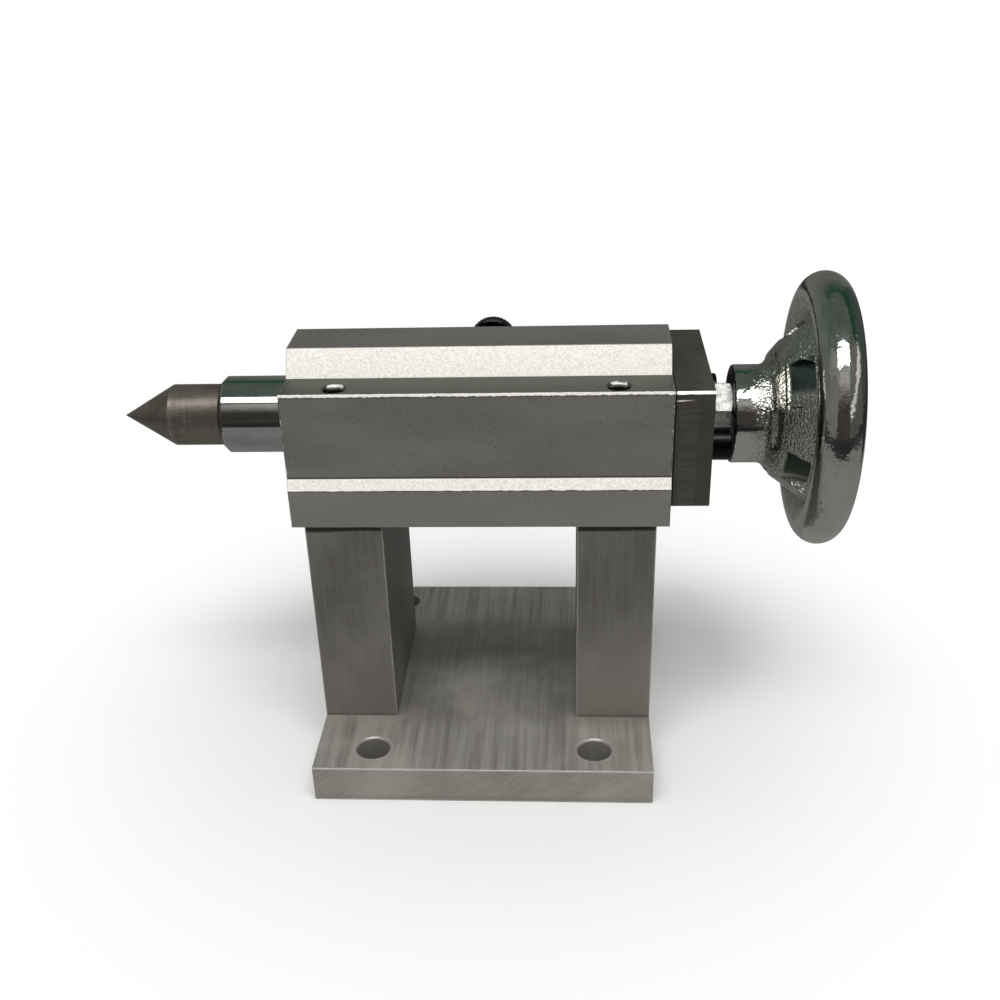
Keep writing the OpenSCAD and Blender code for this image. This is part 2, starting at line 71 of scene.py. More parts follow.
# ---- sockets that can be added and multiplied ----
class Wire:
    def __init__(self, paint, socket):
        self.paint = paint
        self.socket = socket

    def maths(self, operation, *others):
        return self.paint.node("Math", {"operation": operation}, dict(enumerate((self, *others))))

    def __add__(self, other):
        return self.maths("ADD", other)

    def __sub__(self, other):
        return self.maths("SUBTRACT", other)

    def __rsub__(self, other):
        return self.paint.node("Math", {"operation": "SUBTRACT"}, {0: other, 1: self})

    def __mul__(self, other):
        return self.maths("MULTIPLY", other)

    def __abs__(self):
        return self.maths("ABSOLUTE")

    __radd__ = __add__
    __rmul__ = __mul__


class Paint:
    def __init__(self, name):
        self.material = bpy.data.materials.new(name)
        self.material.use_nodes = True
        self.tree = self.material.node_tree
        self.shader = self.tree.nodes["Principled BSDF"]
        metres = self.node("TexCoord", out="Object")
        self.place = self.node("VectorMath", {"operation": "SCALE"}, {0: metres, "Scale": 1000.0})  # mm
        self.x, self.y, self.z = self.node("SeparateXYZ", None, {0: self.place}, out=(0, 1, 2))

    def node(self, kind, settings=None, inputs=None, out=0):
        made = self.tree.nodes.new("ShaderNode" + kind)
        for name, value in (settings or {}).items():
            setattr(made, name, value)
        for name, value in (inputs or {}).items():
            if isinstance(value, Wire):
                self.tree.links.new(value.socket, made.inputs[name])
            else:
                made.inputs[name].default_value = value
        if isinstance(out, tuple):
            return [Wire(self, made.outputs[o]) for o in out]
        return Wire(self, made.outputs[out])

    # places counted in pattern sizes, in mm; shift moves the pattern so that no two are alike
    def scaled(self, size, stretch, shift):
        return self.node("VectorMath", {"operation": "MULTIPLY_ADD"}, {
            0: self.place, 1: tuple(1 / (size * s) for s in stretch), 2: (shift, shift * 1.7, shift * 0.6)})

    # cloudy grain; stretch makes it longer along an axis
    def grain(self, size, stretch=(1, 1, 1), detail=2, rough=0.55, shift=0):
        return self.node("TexNoise", None, {
            "Vector": self.scaled(size, stretch, shift), "Scale": 1.0, "Detail": detail, "Roughness": rough})

    # rounded bumps
    def pebbles(self, size, shift=0):
        return 1 - self.node("TexVoronoi", {"feature": "SMOOTH_F1"}, {
            "Vector": self.scaled(size, (1, 1, 1), shift), "Scale": 1.0, "Smoothness": 0.35}, out="Distance")

    # 0 at low, 1 at high and eased between; low may be the larger, which turns it round
    def ease(self, value, low, high):
        return self.node("MapRange", {"interpolation_type": "SMOOTHSTEP"}, {
            "Value": value, "From Min": low, "From Max": high})

    def blend(self, factor, a, b):
        sockets = {0: factor}
        for key, colour in ((6, a), (7, b)):
            sockets[key] = colour if isinstance(colour, Wire) else (*colour, 1)
        return self.node("Mix", {"data_type": "RGBA"}, sockets, out=2)

    def level(self, factor, a, b):
        return self.node("Mix", {"data_type": "FLOAT"}, {0: factor, 2: a, 3: b})

    # distance, from its parts in two directions
    def hypot(self, a, b):
        return (a * a + b * b).maths("SQRT")

    # distance from the two lines along X at y and -y, z high
    def fromLine(self, y, z):
        return self.hypot(abs(self.y) - y, self.z - z)

    def bump(self, height, depth, under=None):
        sockets = {"Height": height, "Distance": depth * mm, "Strength": 1.0}
        if under:
            sockets["Normal"] = under
        return self.node("Bump", None, sockets)

    def finish(self, colour, roughness, normal=None, metallic=1.0):
        sockets = {"Base Color": colour, "Roughness": roughness, "Metallic": metallic}
        if normal:
            sockets["Normal"] = normal
        for name, value in sockets.items():
            if isinstance(value, Wire):
                self.tree.links.new(value.socket, self.shader.inputs[name])
            else:
                self.shader.inputs[name].default_value = (*value, 1) if isinstance(value, tuple) else value
        return self.material


def wear(names, material):
    for name in names:
        piece = nodes[name]
        piece.data.materials.clear()
        piece.data.materials.append(material)


# the frame's loose triangles are joined, flattened, rounded at their edges and shaded from their flats
joinLook = {"weld": 0.002, "flat": 0.5, "sharp": 30}  # mm, degrees, degrees


def softenEdges(names, width, parts=2):
    for name in names:
        piece = nodes[name]
        weld = piece.modifiers.new("weld", "WELD")
        weld.merge_threshold = joinLook["weld"] * mm
        flat = piece.modifiers.new("flat", "DECIMATE")
        flat.decimate_type = "DISSOLVE"
        flat.angle_limit = math.radians(joinLook["flat"])
        edge = piece.modifiers.new("edge", "BEVEL")
        edge.width = width * mm
        edge.segments = parts
        edge.limit_method = "ANGLE"
        edge.angle_limit = math.radians(joinLook["sharp"])
        edge.miter_outer = "MITER_ARC"
        shade = piece.modifiers.new("shade", "WEIGHTED_NORMAL")
        shade.mode = "FACE_AREA_WITH_ANGLE"
        shade.keep_sharp = True


# ---- mounting plate ----
plateLook = {
    "metal": (0.35, 0.332, 0.295), "light": (0.52, 0.495, 0.445), "dull": (0.215, 0.202, 0.176),
    "outer": (0.66, 0.635, 0.59), "sawn": (0.50, 0.475, 0.425), "worn": (0.62, 0.60, 0.57), "ring": (0.5, 0.48, 0.45),
    "roughness": 0.44, "metallic": 0.45, "top": 13.0, "front": 60.0, "bevel": 0.35,
    "outerFrom": (28, 40), "sawAngle": 38,  # mm from the middle, degrees
    "holes": (37.0, 48.5, 5.5),  # x, y, radius
}


def platePaint(look):
    p = Paint("plateMetal")
    onTop = p.ease(p.z, look["top"] - 0.15, look["top"] - 0.05)
    onFront = p.ease(abs(p.y), look["front"] - 0.15, look["front"] - 0.05)
    fineLines = p.grain(0.55, (1, 60, 1), 3, 0.7)
    wideLines = p.grain(2.2, (1, 30, 1), 2, 0.5, 4)
    # the saw left slanting marks on the long edges
    slant = p.node("VectorRotate", {"rotation_type": "Y_AXIS"}, {
        "Vector": p.place, "Angle": math.radians(look["sawAngle"])})
    slant = p.node("VectorMath", {"operation": "MULTIPLY"}, {0: slant, 1: (0.12, 0.3, 1.5)})
    sawn = p.node("TexNoise", None, {"Vector": slant, "Scale": 1.0, "Detail": 3.0, "Roughness": 0.65})
    stain = p.grain(26, detail=4, rough=0.6, shift=2)
    spots = p.ease(p.grain(2.6, detail=1, shift=9), 0.70, 0.78)
    streak = p.level(onFront, p.level(onTop, 0.5, fineLines * 0.6 + wideLines * 0.4), sawn)
    tone = p.blend(p.ease(streak, 0.25, 0.75), look["dull"], look["metal"])
    tone = p.blend(p.ease(stain, 0.38, 0.72) * 0.55, tone, look["light"])
    tone = p.blend(spots * 0.5, tone, look["dull"])
    # painted sheen: brighter in front of the posts and behind them, following the wide lines; the sawn edges are
    # brighter too
    outer = p.ease(abs(p.y), *look["outerFrom"]) * onTop
    tone = p.blend(outer * 0.45 * p.ease(wideLines, 0.2, 0.8), tone, look["outer"])
    tone = p.blend(onFront * 0.28, tone, look["sawn"])
    # bright corners where the plate has been handled, and bright rings round the holes
    corner = p.fromLine(look["front"], look["top"])
    worn = p.ease(corner + p.grain(1.6, (4, 1, 1), shift=3) * 0.5, 0.95, 0.45)
    hx, hy, hr = look["holes"]
    dx, dy = abs(p.x) - hx, abs(p.y) - hy
    ring = p.hypot(dx, dy) - hr
    rim = p.ease(abs(ring - 0.6), 0.8, 0.3)
    tone = p.blend(worn * 0.85, tone, look["worn"])
    tone = p.blend(rim * 0.6, tone, look["ring"])
    rough = look["roughness"] + stain * 0.16 - rim * 0.12 - 0.08
    height = p.level(onFront, fineLines * 0.5 + wideLines * 0.5, sawn) + p.grain(0.3, detail=1) * 0.25
    return p.finish(tone, rough, p.bump(height, 0.05), look["metallic"])


wear(["base_plate"], platePaint(plateLook))
softenEdges(["base_plate"], plateLook["bevel"])
print("plate done")


# ---- posts ----
postLook = {
    "metal": (0.150, 0.142, 0.128), "light": (0.215, 0.205, 0.185), "dull": (0.105, 0.099, 0.09),
    "bounceLight": (0.34, 0.32, 0.285), "footDark": (0.05, 0.047, 0.042), "joint": (0.012, 0.012, 0.011),
    "shade": (0.07, 0.069, 0.062), "worn": (0.42, 0.41, 0.39), "roughness": 0.46, "metallic": 0.45,
    "bevel": 0.3, "foot": 13.0, "top": 87.0, "middle": 43.5, "thick": 25.0, "front": 30.0,  # mm
}


def postPaint(look):
    p = Paint("postMetal")
    drawn = p.grain(0.9, (1, 1, 26), 3, 0.65)
    cloud = p.grain(17, (1, 1, 1.4), 4, 0.62, 5)
    fine = p.grain(0.45, detail=2, rough=0.6, shift=1)
    scuff = p.ease(p.grain(3.4, (1.6, 1, 1), 3, 0.75, 7), 0.60, 0.74)
    tone = p.blend(p.ease(drawn, 0.25, 0.75), look["dull"], look["metal"])
    tone = p.blend(p.ease(cloud, 0.36, 0.70) * 0.6, tone, look["light"])
    tone = p.blend(scuff * 0.35, tone, look["dull"])
    tone = p.blend(p.ease(fine, 0.35, 0.75) * 0.25, tone, look["light"])
    # painted bounce light from the floor: paler towards the foot, and more so on the post at the wheel's end
    tone = p.blend(p.ease(p.z, 62, 18) * (p.ease(p.x, -40, 40) * 0.25 + 0.32), tone, look["bounceLight"])
    # darker just above where the post meets the plate, and a dark joint under the body
    footDark = p.ease(p.z + cloud * 3, look["foot"] + 3.4, look["foot"] + 1)
    tone = p.blend(footDark * 0.45, tone, look["footDark"])
    joint = p.ease(p.z + cloud * 1.6 - fine, look["top"] - 1.9, look["top"] - 1.1)
    tone = p.blend(joint * 0.92, tone, look["joint"])
    # painted shade on the sides that face each other, darker high up
    inside = look["middle"] - look["thick"] / 2
    onSide = p.ease(abs(p.x), inside + 0.3, inside + 0.1)
    tone = p.blend(onSide * p.ease(p.z, 20, 70) * 0.55, tone, look["shade"])
    sides = abs(abs(abs(p.x) - look["middle"]) - look["thick"] / 2)
    front = abs(abs(p.y) - look["front"])
    worn = p.ease(p.hypot(sides, front) + p.grain(2.2, (1, 1, 5), shift=6) * 0.7, 1.0, 0.45)
    tone = p.blend(worn * 0.55, tone, look["worn"])
    rough = look["roughness"] + cloud * 0.2 - 0.1
    return p.finish(tone, rough, p.bump(drawn * 0.6 + fine * 0.4, 0.045), look["metallic"])


wear(["left_post", "right_post"], postPaint(postLook))
softenEdges(["left_post", "right_post"], postLook["bevel"])
print("posts done")


# ---- extruded body ----
bodyLook = {
    "metal": (0.176, 0.172, 0.158), "light": (0.225, 0.222, 0.205), "dull": (0.148, 0.145, 0.132),
    "bareAndLit": (0.95, 0.915, 0.855), "bareAndLitDull": (0.78, 0.725, 0.665), "bareAndLitWarm": (0.93, 0.85, 0.77),
    "line": (0.05, 0.042, 0.036), "flange": (0.31, 0.30, 0.285), "ledgeShade": (0.073, 0.085, 0.061),
    "speck": (0.31, 0.305, 0.285), "dint": (0.09, 0.088, 0.08),
    "endDull": (0.17, 0.168, 0.157), "endLight": (0.30, 0.295, 0.28),
    "hole": (0.016, 0.016, 0.015), "mouth": (0.06, 0.065, 0.053), "glint": (0.90, 0.885, 0.85),
    "roughness": 0.44, "metallic": 0.45, "bevel": 0.4,
    "end": 60.0, "ledge": (29.0, 131.0),  # x; y and z
    "footBevel": ((30.5, 100.0), (29.0, 103.2)), "crownBevel": (131.0, 139.2),  # y and z twice; z from and to
    "holes": (43.5, 23.5, 3.4), "threadPitch": 1.25,  # x, y, radius
}


def bodyPaint(look):
    p = Paint("blastedBody")
    blast = p.grain(0.62, detail=2, rough=0.6)
    fine = p.grain(0.28, detail=1, shift=3)
    cloud = p.grain(15, (3, 1, 1), 4, 0.6, 6)
    tone = p.blend(p.ease(blast, 0.3, 0.7), look["dull"], look["metal"])
    tone = p.blend(p.ease(cloud, 0.35, 0.75) * 0.6, tone, look["light"])
    scuff = p.ease(p.grain(5.5, (2, 1, 1), 4, 0.8, 8), 0.66, 0.74)
    tone = p.blend(scuff * 0.25, tone, look["dull"])
    dots = p.ease(p.grain(1.3, detail=1, shift=14), 0.74, 0.79)
    tone = p.blend(dots * 0.6, tone, look["line"])
    fromEnd = look["end"] - abs(p.x)
    cutFace = p.ease(fromEnd, 0.12, 0.04)
    # the bevels were milled after the body was coloured, so they are uncoated and sparkle; their near-white colour is
    # partly a painted highlight
    (footY, footZ), (sideY, sideZ) = look["footBevel"]
    neckZ, crownZ = look["crownBevel"]
    onFoot = p.ease(p.z, footZ - 0.1, footZ + 0.1) * p.ease(p.z, sideZ + 0.1, sideZ - 0.1)
    onFoot = onFoot * p.ease(abs(p.y), sideY - 0.3, sideY - 0.1)
    onCrown = p.ease(p.z, neckZ + 0.05, neckZ + 0.2) * p.ease(p.z, crownZ - 0.08, crownZ - 0.3)
    onBevel = onFoot.maths("MAXIMUM", onCrown) * (1 - cutFace)
    onFlange = p.ease(p.z, footZ + 0.1, footZ - 0.1) * (1 - cutFace)
    tone = p.blend(onFlange * 0.35, tone, look["flange"])
    edgeY, edgeZ = look["ledge"]
    # painted reflection of the dark green surroundings on the ledge's top
    ledgeShade = p.ease(abs(p.z - edgeZ), 0.12, 0.05) * p.ease(abs(p.y), edgeY - 0.3, edgeY - 0.6)
    tone = p.blend(ledgeShade * 0.88, tone, look["ledgeShade"])
    # blasting left fine light specks and dark dints
    speck = p.ease(p.grain(0.5, detail=2, rough=0.8, shift=27), 0.54, 0.68)
    tone = p.blend(speck * 0.45 * (1 - ledgeShade), tone, look["speck"])
    dint = p.ease(p.grain(0.6, detail=2, rough=0.8, shift=29), 0.42, 0.30)
    tone = p.blend(dint * 0.4, tone, look["dint"])
    spark = p.ease(p.grain(0.75, detail=2, rough=0.75, shift=21), 0.34, 0.62)
    bevelTone = p.blend(spark, look["bareAndLitDull"], look["bareAndLit"])
    bevelTone = p.blend(p.ease(p.grain(5, detail=2, shift=5), 0.4, 0.7) * 0.2, bevelTone, look["bareAndLitWarm"])
    tone = p.blend(onBevel, tone, bevelTone)
    # thin dark lines just beside the foot's bevel
    seam = p.fromLine(sideY, sideZ + 0.35).maths("MINIMUM", p.fromLine(footY, footZ - 0.4))
    seam = p.ease(seam + blast * 0.2, 0.45, 0.25) * (1 - onBevel)
    tone = p.blend(seam * 0.75, tone, look["line"])
    # uncoated metal, partly a painted highlight, along the ledge's edge and the foot bevel's lower edge, a thin dark
    # line just below the ledge's edge, and uncoated metal round the ends of the extrusion
    nick = p.grain(1.1, (2.5, 1, 1), 2, 0.6, 11)
    chip = p.grain(0.75, (1.6, 1, 1), 3, 0.75, 33)
    fromEdge = p.fromLine(edgeY, edgeZ)
    underEdgeLine = p.ease(fromEdge, 1.25, 1.0) * p.ease(abs(p.y), edgeY - 0.2, edgeY - 0.05)
    tone = p.blend(underEdgeLine * 0.55, tone, look["line"])
    worn = p.ease(fromEdge + chip * 1.3, 1.45, 1.2)
    lower = p.ease(p.fromLine(footY, footZ) + nick * 0.9, 0.85, 0.65)
    rimEnd = p.ease(fromEnd + chip * 1.2, 1.0, 0.7) * (1 - cutFace)
    rimTone = p.blend(p.ease(nick, 0.5, 0.6), look["line"], look["bareAndLitDull"])
    tone = p.blend(rimEnd * 0.7 * (1 - onBevel), tone, rimTone)
    bareAndLit = worn.maths("MAXIMUM", lower)
    tone = p.blend(bareAndLit, tone, look["bareAndLit"])
    # the sawn and milled ends
    milled = p.grain(0.7, (1, 1, 24), 3, 0.7, 2)
    endTone = p.blend(p.ease(milled, 0.3, 0.7), look["endDull"], look["endLight"])
    tone = p.blend(cutFace, tone, endTone)
    # tapped holes in the ledges
    hx, hy, hr = look["holes"]
    dx, dy = abs(p.x) - hx, abs(p.y) - hy
    fromHole = p.hypot(dx, dy)
    inHole = p.ease(fromHole, hr + 0.9, hr + 0.7) * p.ease(p.z, edgeZ - 13, edgeZ - 11)
    inHole = inHole * p.ease(p.z, edgeZ - 0.02, edgeZ - 0.1)
    threads = (p.z * (2 * math.pi / look["threadPitch"])).maths("SINE") * 0.5 + 0.5
    mouth = p.ease(fromHole, hr, hr + 0.2) * inHole
    # painted shade inside the holes
    tone = p.blend(inHole, tone, look["hole"])
    tone = p.blend(mouth, tone, look["mouth"])
    # the light catches the far side of the near holes
    farSide = p.ease(p.y + hy, 1.1, 2.1) * p.ease(p.y + hy, 5.1, 4.5)
    glint = inHole * farSide * p.ease(abs(dx), 2.9, 2.2) * p.ease(p.z, edgeZ - 1.5, edgeZ - 1.1)
    tone = p.blend(glint * p.ease(nick, 0.3, 0.5), tone, look["glint"])
    shine = 1 - onBevel.maths("MAXIMUM", bareAndLit)
    rough = look["roughness"] + blast * 0.1 + cloud * 0.1 - 0.08 + onBevel * 0.08
    height = blast * 0.5 + fine * 0.3 + onBevel * spark + threads * inHole * 3
    return p.finish(tone, rough, p.bump(height, 0.045), look["metallic"] * (shine * 0.8 + 0.2))


wear(["housing"], bodyPaint(bodyLook))
softenEdges(["housing"], bodyLook["bevel"], 3)
print("body done")


# ---- rear cap ----
capLook = {
    "metal": (0.094, 0.088, 0.077), "line": (0.058, 0.054, 0.047), "light": (0.14, 0.133, 0.12),
    "top": (0.062, 0.063, 0.055), "bareAndLit": (0.88, 0.83, 0.80), "blotch": (0.62, 0.50, 0.48),
    "seam": (0.012, 0.012, 0.011), "roughness": 0.40, "metallic": 0.5, "bevel": 0.12,
    "joint": 60.0, "corner": (28.6, 130.6), "side": 29.0, "scratch": 128.1,  # x; y and z; y; z
}


def capPaint(look):
    p = Paint("oiledCap")
    onSide = p.ease(abs(p.y), look["side"] - 0.12, look["side"] - 0.05)
    cuts = p.grain(0.42, (60, 1, 1), 2, 0.8)
    coarse = p.grain(1.6, (30, 1, 1), 2, 0.6, 4)
    cloud = p.grain(11, detail=4, rough=0.6, shift=3)
    lines = cuts * 0.65 + coarse * 0.35
    border = p.ease(p.x, 67.0, 67.4).maths("MAXIMUM", p.ease(p.x, 62.0, 61.6))
    tone = p.blend(p.ease(lines, 0.34, 0.64) * (1 - border * 0.6), look["line"], look["metal"])
    plain = p.blend(p.ease(cloud, 0.35, 0.7), look["top"], look["metal"])
    tone = p.blend(onSide, plain, tone)
    tone = p.blend(p.ease(cloud, 0.45, 0.75) * 0.35, tone, look["light"])
    # uncoated chamfer along the top of the front, its light colour partly a painted highlight, with a bright scratch
    # below it
    nick = p.grain(1.0, (3, 1, 1), shift=7)
    bareAndLit = p.ease(p.fromLine(*look["corner"]) + nick * 0.5, 0.95, 0.6)
    slope = (p.x - look["joint"]) * 0.05
    scratch = p.ease(abs(p.z - look["scratch"] - slope) + nick * 0.4, 0.5, 0.3) * onSide * p.ease(p.x, 66.5, 62.5)
    worn = bareAndLit.maths("MAXIMUM", scratch * 0.9)
    blotch = p.ease(p.grain(1.4, (2, 1, 1), 2, 0.6, 12), 0.42, 0.60)
    tone = p.blend(worn, tone, p.blend(blotch, look["bareAndLit"], look["blotch"]))
    # dark joint against the body
    tone = p.blend(p.ease(p.x, look["joint"] + 0.75, look["joint"] + 0.45), tone, look["seam"])
    rough = look["roughness"] + cloud * 0.14 - 0.07 - bareAndLit * 0.1
    height = p.level(onSide, p.grain(0.5, detail=2, shift=1) * 0.3, lines)
    return p.finish(tone, rough, p.bump(height, 0.06), look["metallic"] * (1 - worn * 0.6))


wear(["rear_cap"], capPaint(capLook))
softenEdges(["rear_cap"], capLook["bevel"])
print("cap done")


# ---- quill and centre ----
quillLook = {
    "metal": (0.60, 0.61, 0.605), "stain": (0.44, 0.45, 0.44), "speck": (0.2, 0.2, 0.19),
    "oil": (0.05, 0.052, 0.05), "turned": (0.20, 0.183, 0.155), "roughness": 0.055, "low": 0.14, "bevel": 0.15,
    "front": -85.0, "body": -60.0, "bore": 10.5,  # x, x, radius
}


def quillPaint(look):
    p = Paint("groundQuill")
    lines = p.grain(0.5, (40, 1, 1), 2, 0.6)
    smear = p.grain(5, (3, 1, 1), 3, 0.6, 4)
    specks = p.ease(p.grain(0.7, (2, 1, 1), 1, 0.5, 9), 0.70, 0.76)
    oil = p.ease(look["body"] - p.x + smear, 1.6, 0.7)
    tone = p.blend(p.ease(smear, 0.4, 0.7) * 0.6, look["metal"], look["stain"])
    tone = p.blend(specks * 0.5, tone, look["speck"])
    tone = p.blend(oil * 0.6, tone, look["oil"])
    up = p.z - axisZ
    bore = p.ease(p.hypot(p.y, up), look["bore"] + 0.1, look["bore"] - 0.1)
    bore = bore * p.ease(p.x, look["front"] + 2, look["front"] + 1.8)
    chamfer = p.ease(p.x + p.grain(1.2, shift=2) * 0.3, look["front"] + 1.25, look["front"] + 1.0)
    tone = p.blend(bore.maths("MAXIMUM", chamfer) * 0.9, tone, look["turned"])
    # the lower half is scuffed along its length
    lower = p.ease(up + smear * 3, 0.5, -1.5)
    rough = look["roughness"] + smear * 0.03 + lower * (look["low"] - look["roughness"]) * lines + bore * 0.3
    rough = rough + chamfer * 0.25
    return p.finish(tone, rough, p.bump(lines * (lower * 0.8 + 0.2), 0.012))


wear(["quill"], quillPaint(quillLook))
softenEdges(["quill"], quillLook["bevel"])

centreLook = {
    "oxide": (0.21, 0.185, 0.155), "dark": (0.132, 0.118, 0.096), "dust": (0.50, 0.42, 0.385),
    "tipTone": (0.20, 0.19, 0.17), "edge": (0.30, 0.27, 0.24),
    "roughness": 0.38, "metallic": 0.75, "shoulder": -101.7, "tip": -119.0,  # the last two are x
}


def centrePaint(look):
    p = Paint("oxidisedCentre")
    turned = p.grain(0.5, (1, 30, 30), 2, 0.7)
    cloud = p.grain(5, (2, 1, 1), 4, 0.65, 2)
    specks = p.ease(p.grain(0.7, detail=2, rough=0.7, shift=5), 0.60, 0.74)
    tone = p.blend(p.ease(cloud, 0.3, 0.72), look["dark"], look["oxide"])
    tone = p.blend(p.ease(turned, 0.45, 0.75) * 0.14, tone, look["dust"])
    tone = p.blend(specks * 0.45, tone, look["dust"])
    tip = p.ease(p.x + cloud * 2, look["tip"] + 4.5, look["tip"] + 2)
    # a painted highlight along the shoulder's edge
    line = p.ease(abs(p.x - look["shoulder"] - 0.2) + cloud * 0.5, 0.6, 0.35)
    tone = p.blend(tip * 0.6, tone, look["tipTone"])
    tone = p.blend(line * 0.6, tone, look["edge"])
    grit = p.grain(0.55, (1.6, 1, 1), 2, 0.7, 8)
    rough = look["roughness"] + cloud * 0.1 - 0.05
    return p.finish(tone, rough, p.bump(turned * 0.12 + grit * 0.9, 0.06), look["metallic"])


wear(["dead_centre"], centrePaint(centreLook))
print("quill and centre done")


# ---- black screws ----
blackLook = {"oxide": (0.018, 0.018, 0.019), "worn": (0.16, 0.155, 0.15), "roughness": 0.24}


# pitch and along draw a thread, or a knurl, as rings across an axis
def blackPaint(name, look, pitch=0, along="x"):
    p = Paint(name)
    cloud = p.grain(2.6, detail=3, rough=0.6)
    fine = p.grain(0.5, detail=3, rough=0.75, shift=4)
    tone = p.blend(p.ease(fine, 0.60, 0.74) * 0.5, look["oxide"], look["worn"])
    rough = look["roughness"] + cloud * 0.2 - 0.06
    height = fine
    if pitch:
        height = fine * 0.2 + (getattr(p, along) * (2 * math.pi / pitch)).maths("SINE") * 3
    return p.finish(tone, rough, p.bump(height, 0.02))


wear(["cap_screws"], blackPaint("blackHeads", blackLook))
softenEdges(["cap_screws"], 0.25)
hiddenScrews = ["post_bolts", "guide_screw", "nut_set_screws"]
wear(hiddenScrews, blackPaint("blackBolts", {**blackLook, "roughness": 0.34}, 1.25, "z"))
softenEdges(hiddenScrews, 0.15)


# ---- bright and yellow metals ----
brightLook = {"metal": (0.60, 0.60, 0.58), "dull": (0.22, 0.22, 0.215), "roughness": 0.3}
steelLook = {"metal": (0.40, 0.40, 0.39), "dull": (0.22, 0.22, 0.21), "roughness": 0.26}
bronzeLook = {"metal": (0.36, 0.21, 0.075), "dull": (0.20, 0.115, 0.045), "roughness": 0.34}
brassLook = {"metal": (0.48, 0.33, 0.11), "dull": (0.28, 0.19, 0.07), "roughness": 0.3}
smallBevel = 0.12


def turnedPaint(name, look):
    p = Paint(name)
    turned = p.grain(0.3, (1, 12, 12), 2, 0.7)
    cloud = p.grain(2.2, detail=4, rough=0.7, shift=3)
    scratch = p.ease(p.grain(0.6, (1, 2, 2), 3, 0.8, 6), 0.50, 0.62)
    tone = p.blend(p.ease(cloud, 0.38, 0.62) * 0.7, look["metal"], look["dull"])
    tone = p.blend(scratch * 0.6, tone, look["dull"])
    rough = look["roughness"] + cloud * 0.16 - 0.06
    return p.finish(tone, rough, p.bump(turned * 0.5 + scratch * 0.5, 0.02))


brightPieces = ["lock_nut", "thrust_washer", "wheel_washer", "wheel_nut", "wheel_key"]
wear(brightPieces, turnedPaint("brightPlate", brightLook))
softenEdges(brightPieces, smallBevel)
# the balls are round already, so they only get the steel
wear(["leadscrew", "shaft_race", "housing_race", "bearing_balls"], turnedPaint("turnedSteel", steelLook))
softenEdges(["leadscrew", "shaft_race", "housing_race"], smallBevel)
bronzePieces = ["cap_bush", "leadscrew_nut", "ball_cage"]
wear(bronzePieces, turnedPaint("turnedBronze", bronzeLook))
softenEdges(bronzePieces, smallBevel)
wear(["brake_plug"], turnedPaint("turnedBrass", brassLook))
softenEdges(["brake_plug"], smallBevel)
print("small metal done")


# ---- modelling helpers ----
closeTogether = 0.00001  # metres, for points that should be one


def pickOnly(piece):
    bpy.ops.object.select_all(action="DESELECT")
    piece.select_set(True)
    bpy.context.view_layer.objects.active = piece


def editOnly(piece, mode="VERT"):
    pickOnly(piece)
    bpy.ops.object.mode_set(mode="EDIT")
    bpy.ops.mesh.select_mode(type=mode)
    bpy.ops.mesh.select_all(action="DESELECT")


def leaveEdit():
    bpy.ops.object.mode_set(mode="OBJECT")


def applyAll(piece):
    pickOnly(piece)
    for modifier in list(piece.modifiers):
        bpy.ops.object.modifier_apply(modifier=modifier.name)


# a closed section for a lathe, drawn by moving one vertex from point to point; points are (x, radius) in mm
def drawSection(name, points):
    bpy.ops.object.select_all(action="DESELECT")
    bpy.ops.mesh.primitive_plane_add(size=mm, location=(0, 0, 0))
    piece = bpy.context.active_object
    piece.name = name
    piece.data.name = name
    editOnly(piece)
    bpy.ops.mesh.select_all(action="SELECT")
    bpy.ops.mesh.merge(type="CENTER")
    x, r = points[0]
    bpy.ops.transform.translate(value=(x * mm, -r * mm, axisZ * mm))
    for (x0, r0), (x1, r1) in zip(points, points[1:] + points[:1]):
        step = ((x1 - x0) * mm, -(r1 - r0) * mm, 0)
        bpy.ops.mesh.extrude_region_move(TRANSFORM_OT_translate={"value": step})
    bpy.ops.mesh.select_all(action="SELECT")
    bpy.ops.mesh.remove_doubles(threshold=closeTogether)
    leaveEdit()
    return piece


def turnOnSpindle(piece, steps):
    editOnly(piece)
    bpy.ops.mesh.select_all(action="SELECT")
    bpy.ops.mesh.spin(steps=steps, angle=2 * math.pi, center=(0, 0, axisZ * mm), axis=(1, 0, 0))
    bpy.ops.mesh.select_all(action="SELECT")
    bpy.ops.mesh.remove_doubles(threshold=closeTogether)
    bpy.ops.mesh.normals_make_consistent(inside=False)
    leaveEdit()


# radius round the spindle and angle upwards from straight forward, mm and degrees
def polar(co):
    y, z = co.y / mm, co.z / mm - axisZ
    return math.hypot(y, z), math.degrees(math.atan2(z, -y)) % 360


def eased(value, low, high):
    t = min(max((value - low) / (high - low), 0), 1)
    return t * t * (3 - 2 * t)


